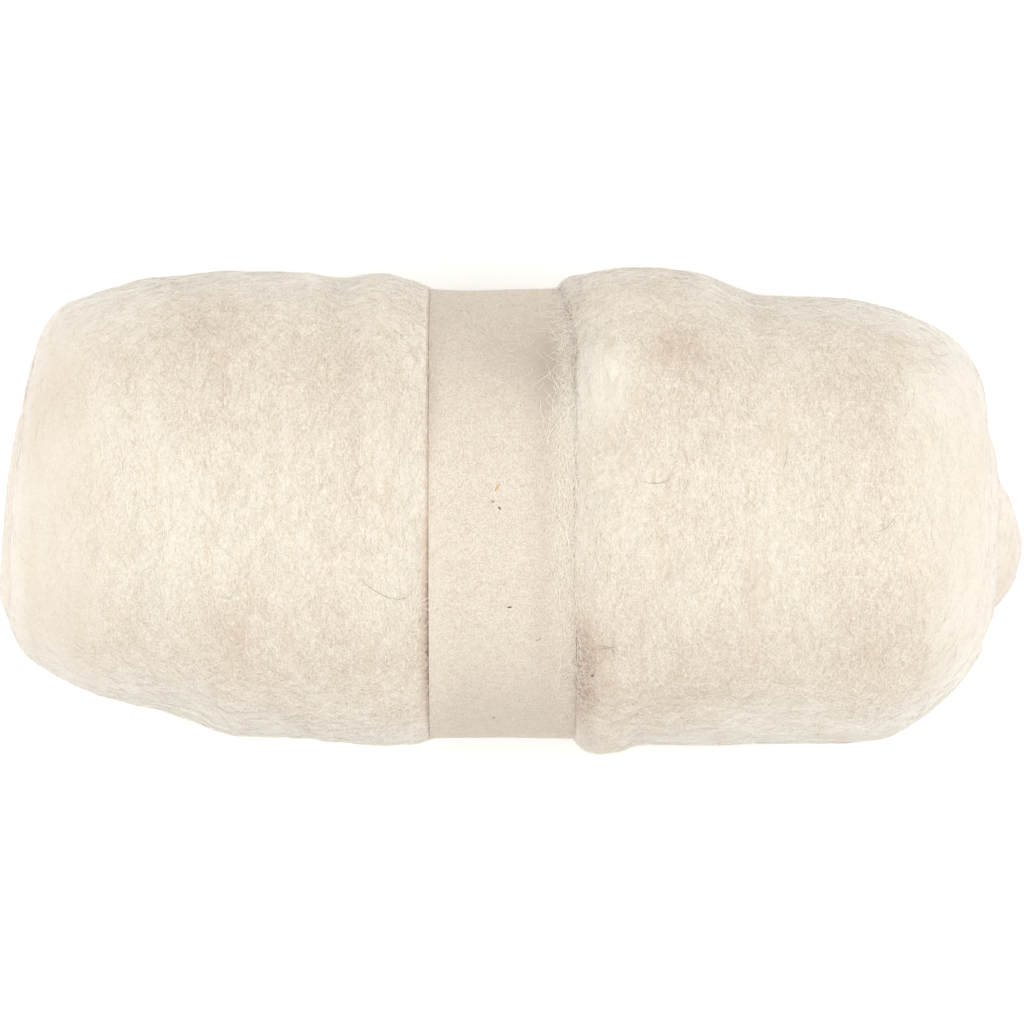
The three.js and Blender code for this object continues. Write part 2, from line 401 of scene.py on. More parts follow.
# Tone of the wool from 0, pale, to 1, grey-beige. Above that it turns to the brown of the grooves'
# painted shade, at 2, and to their painted dark shadow, at 3. The clouds are drawn out round the roll:
# width, steps round it and strength.
MEAN_TONE, DEEPEST = 0.42, 1.2
CLOUDS = ((34, 7, 0.20), (12, 12, 0.13), (4, 26, 0.10))
# Deeper and paler patches, partly the wool's own tone and partly painted light: painted shade on the
# shoulders and in the hollows beside the band, painted light low on the sides. Place along the roll,
# angle round it, reach and strength.
TONE_AND_PAINTED_LIGHT = (
    (-72, 46, 19, 0.46),
    (-78, 34, 12, 0.30),
    (-40, 52, 13, 0.36),
    (-107, 52, 9, 0.22),
    (-88, 128, 14, 0.30),
    (-66, 130, 15, 0.26),
    (-104, 128, 12, 0.20),
    (-43, 124, 12, 0.22),
    (52, 50, 19, 0.36),
    (80, 57, 13, 0.46),
    (86, 74, 9, 0.18),
    (26, 128, 13, 0.40),
    (50, 134, 16, 0.40),
    (32, 150, 14, 0.35),
    (95, 142, 9, 0.30),
    (92, 38, 9, 0.30),
    (-25, 150, 8, 0.30),
    (-97, 103, 12, 0.15),
    (-64, 133, 7, 0.20),
    (31, 112, 6, 0.22),
    (-57, 60, 9, -0.20),
    (68, 32, 9, 0.30),
    (86, 34, 10, 0.30),
    (34, 22, 10, 0.30),
    (14, 22, 6, 0.50),
    (-43, 24, 10, 0.25),
    (-24, 27, 5, 0.35),
    (-40, 138, 9, 0.15),
    (-41, 126, 8, 0.20),
    (41, 143, 9, 0.30),
    (20, 160, 8, 0.40),
    (88, 142, 12, 0.30),
    (84, 127, 15, 0.34),
    (22, 56, 9, -0.60),
    (-24, 96, 14, -0.20),
    (22, 92, 12, -0.25),
    (20, 126, 6, 0.50),
    (20, 143, 8, 0.60),
    (38, 48, 9, 0.55),
    (84, 47, 9, 0.25),
    (-90, 50, 9, 0.25),
    (-73, 68, 8, 0.28),
    (-66, 117, 8, 0.22),
    (-29, 130, 8, 0.25),
    (62, 137, 9, 0.22),
    (60, 92, 20, -0.12),
    # Painted light along the rims at the back and front, low down by the bright table.
    (-66, 172, 17, -0.28),
    (-34, 174, 13, -0.22),
    (48, 172, 17, -0.30),
    (80, 170, 14, -0.22),
    (-62, 8, 17, -0.25),
    (-32, 6, 12, -0.22),
    (44, 8, 14, -0.22),
)
# Painted shade in the groove beside the band, brown, and a painted dark shadow in its deepest gaps:
# which edge, angle round the roll, reach in degrees, width along the roll and strength.
GROOVE_PAINTED_SHADE = (
    ("left", 90, 400, 0.9, 0.90),
    ("left", 130, 34, 3.2, 1.30),
    ("left", 50, 26, 1.3, 0.50),
    ("right", 18, 24, 2.5, 0.80),
    ("right", 30, 20, 1.1, 2.60),
    ("right", 90, 400, 0.6, 0.30),
    ("right", 140, 19, 6.5, 1.35),
    ("right", 128, 10, 9.0, 0.40),
)
# How much of that painted shade the loose fibres over the groove take on, and how far the tone varies
# from fibre to fibre.
GROOVE_SHARE, FIBRE_SPREAD = 0.5, 0.6
# The middle of the roll, across and up, its mean radius, and the length of the map along its skin.
AXIS = (-0.8 * MM, 50 * MM)
REACH = 57 * MM
MAP_LENGTH = 0.37


def round_place(points):
    """Angle round the roll in degrees and distance from its axis, for points in metres."""
    y, z = points[:, 1] - AXIS[0], points[:, 2] - AXIS[1]
    return np.degrees(np.arctan2(z, y)) % 360, np.hypot(y, z)


def tone_at(points, grooves):
    """The wool's tone at points in metres, with painted shade and painted light in it. grooves is how
    much of the grooves' painted shade it has.
    """
    degrees, radius = round_place(points)
    x = points[:, 0] / MM
    along = x + np.sign(x) * (REACH - radius) / MM
    tone = np.full(len(points), MEAN_TONE)
    for k, (width, steps, amount) in enumerate(CLOUDS):
        tone += amount * lattice_noise(along * 0.8, degrees, width, steps, 31 + k)
    for place_x, angle, reach, amount in TONE_AND_PAINTED_LIGHT:
        round_it = np.radians((degrees - angle + 180) % 360 - 180) * radius / MM
        tone += amount * np.exp(-((x - place_x) ** 2 + round_it**2) / reach**2)
    tone = np.clip(tone, 0, DEEPEST)
    for edge, angle, reach, width, amount in GROOVE_PAINTED_SHADE:
        beside = past_lip(x, degrees) if edge == "right" else BAND["left"] - x
        around = ((degrees - angle + 180) % 360 - 180) / reach
        inside = 1 - smooth(np.abs(beside), 0.2, width)
        tone += grooves * amount * inside * np.exp(-(around**2)) * np.maximum(2 - tone, 1)
    return tone


def points_of(mesh):
    points = np.empty(len(mesh.vertices) * 3, np.float32)
    mesh.vertices.foreach_get("co", points)
    return points.reshape(-1, 3).astype(float)


def keep_values(mesh, name, values):
    """Stores one value on each point."""
    mesh.attributes.new(name, "FLOAT", "POINT").data.foreach_set("value", values.astype(np.float32))


def keep_tone(mesh, shift=0.0, spread=0.0, grooves=1.0):
    """Stores the wool's tone on each point. spread is how far it varies from fibre to fibre."""
    tone = tone_at(points_of(mesh), grooves) + shift
    if spread:
        chance = np.empty(len(mesh.vertices) * 3, np.float32)
        mesh.attributes["chance"].data.foreach_get("vector", chance)
        calm = 1 - 0.7 * smooth(np.abs(points_of(mesh)[:, 0]) / MM, *CALM_ENDS)
        tone = tone + spread * calm * (chance[2::3] - 0.5)
    keep_values(mesh, "tone", np.clip(tone, 0, 3))


def keep_wrap_map(mesh):
    """The map that goes round the roll and along its skin, with its seam underneath."""
    corners = np.empty(len(mesh.loops), np.int32)
    mesh.loops.foreach_get("vertex_index", corners)
    starts, totals = (np.empty(len(mesh.polygons), np.int32) for _ in range(2))
    mesh.polygons.foreach_get("loop_start", starts)
    mesh.polygons.foreach_get("loop_total", totals)
    points = points_of(mesh)
    degrees, radius = round_place(points)
    u = ((degrees + 90) % 360 / 360)[corners]
    lead = np.repeat(u[starts], totals)
    u = u - np.round(u - lead)
    x = points[:, 0]
    v = (x + np.sign(x) * (REACH - radius)) / MAP_LENGTH + 0.5
    uv = np.stack([u, v[corners]], axis=-1).astype(np.float32)
    mesh.uv_layers.new(name="OFBake").uv.foreach_set("vector", uv.ravel())


# Materials. Colours are linear. These are the pale and the deep colour of the wool behind the loose
# fibres and of each kind of fibre, then those of the paper, and of what lies on both.
# The deep colour of BODY, behind the fibres, stands partly for painted shade in the gaps between them.
BODY = (0.90, 0.85, 0.74), (0.73, 0.61, 0.485)
LAID = (0.90, 0.85, 0.74), (0.74, 0.62, 0.49)
CREAM = (0.93, 0.885, 0.785), (0.80, 0.69, 0.56)
PALE = (0.95, 0.915, 0.83), (0.86, 0.77, 0.655)
STAIN, STRAW_STAIN = 0.35, (0.82, 0.70, 0.53)
# The grooves' colours are painted shade: brown, and a dark shadow in the deepest gaps.
GROOVE_SHADE_BROWN, GROOVE_SHADOW_DARK = (0.56, 0.41, 0.32), (0.20, 0.14, 0.11)
PAPER_PALE, PAPER_DEEP = (0.835, 0.745, 0.63), (0.67, 0.565, 0.46)
# The first colour on the next line is the paper's painted shade.
PAPER_PAINTED_SHADE, PAPER_SPECK = (0.555, 0.465, 0.385), (0.42, 0.30, 0.20)
HAIR, BARK, STRAW = (0.25, 0.205, 0.17), (0.17, 0.085, 0.055), (0.80, 0.50, 0.22)
# The wool's tone is calm beyond these places along the roll, where its ends begin.
CALM_ENDS = (84, 112)
# Streaks in the wool's tone, and the fine lines of single fibres, paler where the strength is below 0
# and, above 0, painted shade in the gaps between fibres: how finely each is spaced, how far it is drawn
# out round the roll, and its strength.
STREAKS = ((2600, 0.30, 1.3), (330, 0.22, 0.3))
LINES = ((1050, 0.60, -0.50), (1400, 0.50, -0.45), (1200, 0.60, 0.50))
PAPER_LINES = ((1150, 0.70, -0.60), (1500, 0.60, -0.50), (1300, 0.70, 0.80))
LINE_WIDTH = 0.045


def new_material(name):
    material = bpy.data.materials.new(name)
    material.use_nodes = True
    tree = material.node_tree
    tree.nodes.clear()
    shader = tree.nodes.new("ShaderNodeBsdfPrincipled")
    output = tree.nodes.new("ShaderNodeOutputMaterial")
    tree.links.new(shader.outputs[0], output.inputs["Surface"])
    return material, tree, shader


def noise(tree, where, scale, detail=2.0, roughness=0.5):
    inputs = {"Vector": where, "Scale": scale, "Detail": detail, "Roughness": roughness}
    return add(tree, "ShaderNodeTexNoise", inputs).outputs["Fac"]


def blend_colours(tree, share, first, second):
    """A colour from the first to the second, by their share."""
    inputs = {0: share}
    for key, colour in ((6, first), (7, second)):
        inputs[key] = colour if isinstance(colour, bpy.types.NodeSocket) else (*colour, 1.0)
    return add(tree, "ShaderNodeMix", inputs, data_type="RGBA").outputs[2]


def fit(tree, value, low, high, to_low=0.0, to_high=1.0):
    """Softly carries the range from low to high over to another."""
    inputs = enumerate((value, low, high, to_low, to_high))
    return add(tree, "ShaderNodeMapRange", inputs, interpolation_type="SMOOTHSTEP").outputs[0]


def object_places(tree, stretch=(1, 1, 1)):
    spot = tree.nodes.new("ShaderNodeTexCoord").outputs["Object"]
    return vector(tree, "MULTIPLY", spot, stretch)


def line(tree, scale, drawn):
    """1 along fine curly lines, like single fibres, and 0 between them."""
    field = noise(tree, object_places(tree, (1, drawn, 1)), scale, 1)
    off = number(tree, "ABSOLUTE", number(tree, "SUBTRACT", field, 0.5))
    return fit(tree, off, LINE_WIDTH, 0.0)


def steep(tree, most):
    """1 on level parts of the skin, rising to most where it slopes off."""
    facing = tree.nodes.new("ShaderNodeNewGeometry").outputs["Normal"]
    return fit(tree, add(tree, "ShaderNodeSeparateXYZ", {0: facing}).outputs[2], 0.85, 0.5, 1.0, most)


def wool_colour(tree, pale, deep):
    """Carded wool: its tone, which holds painted shade and painted light, drifts between a pale and a
    deeper cream, in fine streaks and lines that fade towards the roll's ends, the dark lines painted
    shade between fibres, and painted shade turns it brown, then dark, in the grooves beside the band."""
    tone = add(tree, "ShaderNodeAttribute", attribute_name="tone").outputs["Fac"]
    change = 0.0
    for scale, drawn, strength in STREAKS:
        streak = noise(tree, object_places(tree, (1, drawn, 2 * drawn)), scale, 3, 0.6)
        change = number(tree, "MULTIPLY_ADD", number(tree, "SUBTRACT", streak, 0.5), strength, change)
    for scale, drawn, strength in LINES:
        change = number(tree, "MULTIPLY_ADD", line(tree, scale, drawn), strength, change)
    along = add(tree, "ShaderNodeSeparateXYZ", {0: object_places(tree)}).outputs[0]
    calm = (value * MM for value in CALM_ENDS)
    lively = fit(tree, number(tree, "ABSOLUTE", along), *calm, 1.0, 0.15)
    lively = number(tree, "MULTIPLY", lively, number(tree, "MULTIPLY_ADD", tone, 1.1, 0.65))
    lively = number(tree, "MULTIPLY", lively, steep(tree, 1.35))
    share = number(tree, "MULTIPLY_ADD", change, lively, tone)
    colour = blend_colours(tree, share, pale, deep)
    stain = fit(tree, noise(tree, object_places(tree, (1, 0.3, 0.3)), 150, 2), 0.56, 0.74)
    colour = blend_colours(tree, number(tree, "MULTIPLY", stain, STAIN), colour, STRAW_STAIN)
    # Painted shade in the grooves: brown from tone 1, a dark shadow from tone 2, in broken patches.
    patches = noise(tree, object_places(tree), 1100, 2)
    for level, groove, least in ((1.0, GROOVE_SHADE_BROWN, 0.55), (2.0, GROOVE_SHADOW_DARK, 0.15)):
        broken = fit(tree, patches, 0.38, 0.62, least, 1.0)
        inputs = enumerate((tone, level, level + 1, 0.0, 1.0))
        depth = add(tree, "ShaderNodeMapRange", inputs).outputs[0]
        colour = blend_colours(tree, number(tree, "MULTIPLY", depth, broken), colour, groove)
    return colour


def wool_material(name, pale, deep, roughness=0.9):
    material, tree, shader = new_material(name)
    tree.links.new(wool_colour(tree, pale, deep), shader.inputs["Base Color"])
    shader.inputs["Roughness"].default_value = roughness
    shader.inputs["Specular IOR Level"].default_value = 0.15
    shader.inputs["Sheen Weight"].default_value = 0.65
    shader.inputs["Sheen Roughness"].default_value = 0.5
    return material, tree, shader


def give_bump(tree, shader, height, distance, strength=1.0):
    inputs = {"Height": height, "Distance": distance, "Strength": strength}
    bump = add(tree, "ShaderNodeBump", inputs)
    tree.links.new(bump.outputs[0], shader.inputs["Normal"])


def body_wool():
    """The wool behind the loose fibres, a little deeper in colour than they are: painted shade in the
    gaps between them.
    """
    material, tree, shader = wool_material("wool_deep", *BODY, 1.0)
    along = noise(tree, object_places(tree, (1, 0.10, 0.10)), 3400, 3, 0.6)
    tangle = noise(tree, object_places(tree), 1500, 4, 0.65)
    height = number(tree, "ADD", along, number(tree, "MULTIPLY", tangle, 0.7))
    give_bump(tree, shader, height, 0.0002)
    return material


def paper():
    """Uncoated recycled paper: a fine felt of short fibres, painted shade where the band turns away from
    the light and beside the wool, painted light along its left edge, a few specks, and the wool's loose
    fibres over its right edge."""
    material, tree, shader = new_material("band_paper")
    spot = object_places(tree)
    felt = fit(tree, noise(tree, spot, 420, 3, 0.6), 0.35, 0.65, 0.0, 0.35)
    grain = noise(tree, object_places(tree, (1, 0.6, 0.25)), 3400, 2, 0.6)
    coarse = number(tree, "MULTIPLY", number(tree, "SUBTRACT", grain, 0.5), steep(tree, 1.7))
    felt = number(tree, "MULTIPLY_ADD", coarse, 2.4, felt)
    for scale, drawn, strength in PAPER_LINES:
        felt = number(tree, "MULTIPLY_ADD", line(tree, scale, drawn), strength, felt)
    # Painted shade and light on the paper: below 0 the felt turns paler, above 0 the paper darkens to
    # the shade colour.
    shade = add(tree, "ShaderNodeAttribute", attribute_name="shade").outputs["Fac"]
    felt = number(tree, "ADD", felt, number(tree, "MINIMUM", shade, 0.0))
    base = blend_colours(tree, felt, PAPER_PALE, PAPER_DEEP)
    base = blend_colours(tree, shade, base, PAPER_PAINTED_SHADE)
    cell = add(tree, "ShaderNodeTexVoronoi", {"Vector": spot, "Scale": 340, "Randomness": 1.0})
    kept = fit(tree, noise(tree, spot, 210, 1), 0.56, 0.62)
    speck = fit(tree, cell.outputs["Distance"], 0.075, 0.035)
    base = blend_colours(tree, number(tree, "MULTIPLY", speck, kept), base, PAPER_SPECK)
    ragged = noise(tree, object_places(tree, (1, 0.3, 0.3)), 900, 3, 0.6)
    veiled = add(tree, "ShaderNodeAttribute", attribute_name="veil").outputs["Fac"]
    veiled = fit(tree, number(tree, "ADD", veiled, number(tree, "SUBTRACT", ragged, 0.5)), 0.1, 1.0)
    base = blend_colours(tree, veiled, base, wool_colour(tree, *LAID))
    tree.links.new(base, shader.inputs["Base Color"])
    shader.inputs["Roughness"].default_value = 0.92
    shader.inputs["Specular IOR Level"].default_value = 0.25
    give_bump(tree, shader, felt, 0.00006)
    return material


def plain(name, colour, roughness):
    """One colour that drifts to a deeper shade of itself."""
    material, tree, shader = new_material(name)
    shade = fit(tree, noise(tree, object_places(tree), 1800, 2), 0.3, 0.7)
    deeper = tuple(0.7 * c for c in colour)
    tree.links.new(blend_colours(tree, shade, colour, deeper), shader.inputs["Base Color"])
    shader.inputs["Roughness"].default_value = roughness
    return material


# The loose fibres grow on the skin by one node tree.
LOWEST_FIBRE = 0.15 * MM
FIBRE_INPUTS = (
    ("Density", "NodeSocketFloat"),
    ("Length", "NodeSocketFloat"),
    ("Width", "NodeSocketFloat"),
    ("Points", "NodeSocketInt"),
    ("Spread", "NodeSocketFloat"),
    ("Swirl", "NodeSocketFloat"),
    ("Shoulder", "NodeSocketFloat"),
    ("Curl", "NodeSocketFloat"),
    ("Waves", "NodeSocketFloat"),
    ("Rise", "NodeSocketFloat"),
    ("Seed", "NodeSocketInt"),
    ("Wool", "NodeSocketMaterial"),
)


def named(tree, name, kind):
    """The values kept under a name."""
    inputs = {"Name": name}
    return add(tree, "GeometryNodeInputNamedAttribute", inputs, data_type=kind).outputs["Attribute"]


def keep(tree, geometry, name, kind, value):
    """Keeps a value of each point under a name."""
    inputs = {"Geometry": geometry, "Name": name, "Value": value}
    made = add(tree, "GeometryNodeStoreNamedAttribute", inputs, data_type=kind, domain="POINT")
    return made.outputs["Geometry"]


def chance(tree, kind, low, high, seed):
    made = tree.nodes.new("FunctionNodeRandomValue")
    made.data_type = kind
    first = 0 if kind == "FLOAT_VECTOR" else 2
    made.inputs[first].default_value, made.inputs[first + 1].default_value = low, high
    tree.links.new(seed, made.inputs["Seed"])
    return made.outputs[0 if kind == "FLOAT_VECTOR" else 1]


def roots(tree, given):
    """Scattered roots on the skin, each with its place, the skin's direction there and the way
    the fibre lies, which is round the roll but for a spread, a slow swirl, and a turn either way
    where the roll's shoulders slope off."""
    density = number(tree, "MULTIPLY", named(tree, "cover", "FLOAT"), given["Density"])
    inputs = {"Mesh": given["Skin"], "Density": density, "Seed": given["Seed"]}
    scatter = add(tree, "GeometryNodeDistributePointsOnFaces", inputs)
    here = tree.nodes.new("GeometryNodeInputPosition").outputs[0]
    outward = scatter.outputs["Normal"]
    radial = vector(tree, "MULTIPLY", vector(tree, "SUBTRACT", here, (0, *AXIS)), (0, 1, 1))
    round_it = vector(tree, "CROSS_PRODUCT", (1, 0, 0), radial)
    off = vector(tree, "SCALE", outward, Scale=vector(tree, "DOT_PRODUCT", round_it, outward))
    lay = vector(tree, "NORMALIZE", vector(tree, "SUBTRACT", round_it, off))
    seeds = [number(tree, "ADD", given["Seed"], k) for k in (101, 202, 303)]
    spread = number(tree, "ADD", *(chance(tree, "FLOAT", -0.5, 0.5, seed) for seed in seeds[:2]))
    drift = number(tree, "SUBTRACT", noise(tree, here, 38, 2), 0.5)
    slope = fit(tree, add(tree, "ShaderNodeSeparateXYZ", {0: outward}).outputs[2], 0.85, 0.5)
    either_way = number(tree, "MULTIPLY", number(tree, "SIGN", spread), slope)
    turn = number(tree, "MULTIPLY", either_way, given["Shoulder"])
    angle = number(tree, "MULTIPLY_ADD", spread, given["Spread"], turn)
    angle = number(tree, "MULTIPLY_ADD", drift, given["Swirl"], angle)
    cloud = keep(tree, scatter.outputs["Points"], "root", "FLOAT_VECTOR", here)
    cloud = keep(tree, cloud, "outward", "FLOAT_VECTOR", outward)
    cloud = keep(tree, cloud, "lay", "FLOAT_VECTOR", turned(tree, lay, outward, angle))
    luck = chance(tree, "FLOAT_VECTOR", (0, 0, 0), (1, 1, 1), seeds[2])
    return keep(tree, cloud, "chance", "FLOAT_VECTOR", luck)


def fibre_tree():
    """The node tree that grows loose fibres on a skin."""
    tree = bpy.data.node_groups.new("Wool fibres", "GeometryNodeTree")
    tree.interface.new_socket("Skin", in_out="INPUT", socket_type="NodeSocketGeometry")
    for name, kind in FIBRE_INPUTS:
        tree.interface.new_socket(name, in_out="INPUT", socket_type=kind)
    tree.interface.new_socket("Fibres", in_out="OUTPUT", socket_type="NodeSocketGeometry")
    given = tree.nodes.new("NodeGroupInput").outputs
    result = tree.nodes.new("NodeGroupOutput").inputs

    inputs = {"Start": (-0.5, 0, 0), "End": (0.5, 0, 0)}
    straight = add(tree, "GeometryNodeCurvePrimitiveLine", inputs).outputs[0]
    inputs = {"Curve": straight, "Count": given["Points"]}
    strand = add(tree, "GeometryNodeResampleCurve", inputs).outputs[0]
    here = tree.nodes.new("GeometryNodeInputPosition").outputs[0]
    share = add(tree, "ShaderNodeSeparateXYZ", {0: here}).outputs[0]
    strand = keep(tree, strand, "share", "FLOAT", share)
    inputs = {"Points": roots(tree, given), "Instance": strand}
    many = add(tree, "GeometryNodeInstanceOnPoints", inputs).outputs[0]
    many = add(tree, "GeometryNodeRealizeInstances", {"Geometry": many}).outputs[0]

    # Each strand runs along its lay from its root, waves to the side, and follows the skin.
    along = named(tree, "share", "FLOAT")
    luck = add(tree, "ShaderNodeSeparateXYZ", {0: named(tree, "chance", "FLOAT_VECTOR")}).outputs
    lay, outward = named(tree, "lay", "FLOAT_VECTOR"), named(tree, "outward", "FLOAT_VECTOR")
    length = number(tree, "MULTIPLY", given["Length"], number(tree, "ADD", luck[0], 0.5))
    phase = number(tree, "MULTIPLY", luck[1], 2 * math.pi)
    pace = number(tree, "MULTIPLY", given["Waves"], number(tree, "ADD", luck[2], 0.5))
    wave = number(tree, "SINE", number(tree, "MULTIPLY_ADD", along, pace, phase))
    slow = number(tree, "MULTIPLY_ADD", along, 3.4, number(tree, "MULTIPLY", phase, 3))
    sway = number(tree, "ADD", wave, number(tree, "MULTIPLY", number(tree, "SINE", slow), 2.2))
    sway = number(tree, "MULTIPLY", sway, given["Curl"])
    forward = vector(tree, "SCALE", lay, Scale=number(tree, "MULTIPLY", along, length))
    sideways = vector(tree, "SCALE", vector(tree, "CROSS_PRODUCT", outward, lay), Scale=sway)
    away = vector(tree, "ADD", forward, sideways)
    free = vector(tree, "ADD", named(tree, "root", "FLOAT_VECTOR"), away)
    inputs = {0: given["Skin"], "Sample Position": free}
    near = add(tree, "GeometryNodeProximity", inputs).outputs["Position"]
    normal = tree.nodes.new("GeometryNodeInputNormal").outputs[0]
    inputs = {"Mesh": given["Skin"], "Value": normal, "Sample Position": free}
    up = add(tree, "GeometryNodeSampleNearestSurface", inputs, data_type="FLOAT_VECTOR").outputs[0]

    # It arches over the skin and sinks back in at both ends.
    ends = number(tree, "POWER", number(tree, "MULTIPLY", number(tree, "ABSOLUTE", along), 2), 3)
    arch = number(tree, "SUBTRACT", 1.0, number(tree, "MULTIPLY", ends, 1.25))
    ripple = number(tree, "MULTIPLY_ADD", wave, 0.25, 0.75)
    height = number(tree, "MULTIPLY", number(tree, "MULTIPLY", arch, ripple), given["Rise"])
    share_up = number(tree, "ADD", number(tree, "POWER", luck[2], 2), 0.25)
    height = number(tree, "MULTIPLY", height, share_up)
    end = number(tree, "ABSOLUTE", add(tree, "ShaderNodeSeparateXYZ", {0: near}).outputs[0])
    calm = (value * MM for value in CALM_ENDS)
    height = number(tree, "MULTIPLY", height, fit(tree, end, *calm, 1.0, 0.15))
    spot = vector(tree, "ADD", near, vector(tree, "SCALE", up, Scale=height))
    spot = vector(tree, "MAXIMUM", spot, (-1.0, -1.0, LOWEST_FIBRE))
    many = add(tree, "GeometryNodeSetPosition", {"Geometry": many, "Position": spot}).outputs[0]

    # A flat ribbon, turned a little about its own length and tapered to its ends.
    tangent = tree.nodes.new("GeometryNodeInputTangent").outputs[0]
    flat = vector(tree, "CROSS_PRODUCT", up, tangent)
    lean = number(tree, "MULTIPLY", number(tree, "SUBTRACT", luck[1], 0.5), 0.7)
    inputs = {"Curve": many, "Normal": turned(tree, flat, tangent, lean)}
    many = add(tree, "GeometryNodeSetCurveNormal", inputs, mode="FREE").outputs[0]
    slim = number(tree, "SUBTRACT", 1.0, number(tree, "MULTIPLY", ends, 0.8))
    half = number(tree, "MULTIPLY", given["Width"], 0.5)
    sides = {}
    for end, side in (("Start", -1), ("End", 1)):
        edge = {0: number(tree, "MULTIPLY", half, side)}
        sides[end] = add(tree, "ShaderNodeCombineXYZ", edge).outputs[0]
    profile = add(tree, "GeometryNodeCurvePrimitiveLine", sides).outputs[0]
    inputs = {"Curve": many, "Profile Curve": profile, "Scale": slim}
    made = add(tree, "GeometryNodeCurveToMesh", inputs).outputs[0]
    made = add(tree, "GeometryNodeRealizeInstances", {"Geometry": made}).outputs[0]
    made = add(tree, "GeometryNodeSetMaterial", {"Geometry": made, "Material": given["Wool"]}).outputs[0]
    tree.links.new(made, result["Fibres"])
    return tree


def grown(obj, sizes, tree):
    """Gives obj the node tree with these sizes, and returns what it makes as a plain mesh."""
    modifier = obj.modifiers.new("Fibres", "NODES")
    modifier.node_group = tree
    for item in tree.interface.items_tree:
        if item.in_out == "INPUT" and item.name in sizes:
            modifier[item.identifier] = sizes[item.name]
    obj.update_tag()
    graph = bpy.context.evaluated_depsgraph_get()
    seen = obj.evaluated_get(graph)
    mesh = bpy.data.meshes.new_from_object(seen, preserve_all_data_layers=True, depsgraph=graph)
    obj.modifiers.remove(modifier)
    return mesh


def growing_skin(cover):
    """The skin that fibres grow on and follow. cover says how thickly they grow at each point,
    from its place along the roll and its angle round it."""
    mesh = closed_mesh("skin", wool_rings(0.0, lapped=True))
    points = points_of(mesh) / MM
    degrees, _ = round_place(points * MM)
    keep_values(mesh, "cover", cover(points[:, 0], degrees, points[:, 2]))
    return place("skin", mesh)


# Wool pieces.
def wool_body(wool):
    """The wound wool itself, with its ridges, furrowed ends, waist and tail edge."""
    mesh = closed_mesh("wool_body", wool_rings(INSET))
    keep_tone(mesh)
    keep_wrap_map(mesh)
    piece = place("wool_body", mesh, wool)
    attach(piece, "root")
    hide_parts("wool_roll")
    return piece


def wool_lip(wool):
    """The part of the right lobe that bulges over the band's edge."""
    degrees = np.linspace(0.03 - LIP["down"], LIP["front"] - 0.03, LIP_STEPS)
    base, outward = band_outline(degrees)
    start = BAND["right"] - LIP["over"] * lip_share(degrees)
    x = start + (BAND["right"] + 2.0 - start) * np.linspace(0, 1, LIP_ACROSS)[:, None] ** 1.6
    sunk = 1.2 * smooth(x - BAND["right"], 0.2, 2.0)
    height = (lip_height(x, degrees[None, :]) - sunk)[..., None]
    face = base + x[..., None] * (1, 0, 0)
    lowest = np.minimum(height, 0) - 0.02
    rings = np.concatenate([face + outward * height, (face + outward * lowest)[::-1]])
    mesh = closed_mesh("wool_lip", rings.transpose(1, 0, 2))
    keep_tone(mesh)
    keep_wrap_map(mesh)
    piece = place("wool_lip", mesh, wool)
    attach(piece, "root")
    return piece


def over_lobes(x, degrees, z):
    """Fibres grow all over the lobes, more thinly on the ends, and not on the band, in the open
    groove at its left edge or where the roll is pressed flat."""
    bare = 0.8 * np.exp(-(((degrees - 130) / 32) ** 2))
    beside = np.maximum(BAND["left"] - x - bare, past_lip(x, degrees) - 0.4)
    return smooth(beside, 0.4, 1.4) * smooth(z, 0.2, 3) * (1 - 0.5 * smooth(np.abs(x), *CALM_ENDS))


def clear_of_edge(x, degrees, z):
    """Curly fibres keep off the band's left edge, which shows as a clean line, and are few on the
    smooth ends."""
    beside = np.maximum(BAND["left"] - x - 2.0, past_lip(x, degrees) - 0.8)
    return smooth(beside, 0.4, 1.6) * smooth(z, 0.2, 3) * (1 - 0.75 * smooth(np.abs(x), *CALM_ENDS))


def beside_band(x, degrees, z):
    """Wisps cross the band's right edge, most towards the back. A few cross its left edge or lie on
    the paper."""
    beside = past_lip(x, degrees)
    right = smooth(beside, -5.0, -0.8) * (1 - smooth(beside, 2.0, 6.0))
    left = smooth(-x, 19.6, 20.6) * (1 - smooth(-x, 21.5, 23.5))
    turn = (degrees + 180) % 360 - 180
    back = smooth(turn, -20, 0) * (1 - smooth(turn, 56, 72))
    front = smooth(degrees, 118, 134)
    paper = (x > BAND["left"] + 1) & (x < BAND["right"])
    share = right * (0.2 + 0.8 * back + 0.15 * front) + 0.05 * left + paper * (0.006 + 0.03 * back)
    return share * smooth(z, 1, 6)


VEIL_EDGE, VEIL_RAGGED = 11.0, 2.2


def veil(x, degrees):
    """How thickly loose fibres lie on the paper beside the band's right edge."""
    edge = VEIL_EDGE + VEIL_RAGGED * lattice_noise(0 * x, degrees, 300, 44, 51)
    thick = smooth(degrees, 50, 66) * (1 - smooth(degrees, 112, 132))
    thin = 0.45 * smooth(degrees, 12, 24) * (1 - smooth(degrees, 136, 150))
    return smooth(x, edge - 4, edge + 4) * np.maximum(thick, thin)


def over_margin(x, degrees, z):
    """A web of fibres veils the band's right edge."""
    return veil(x, degrees) * (1 - smooth(x, 15.5, 18.5))
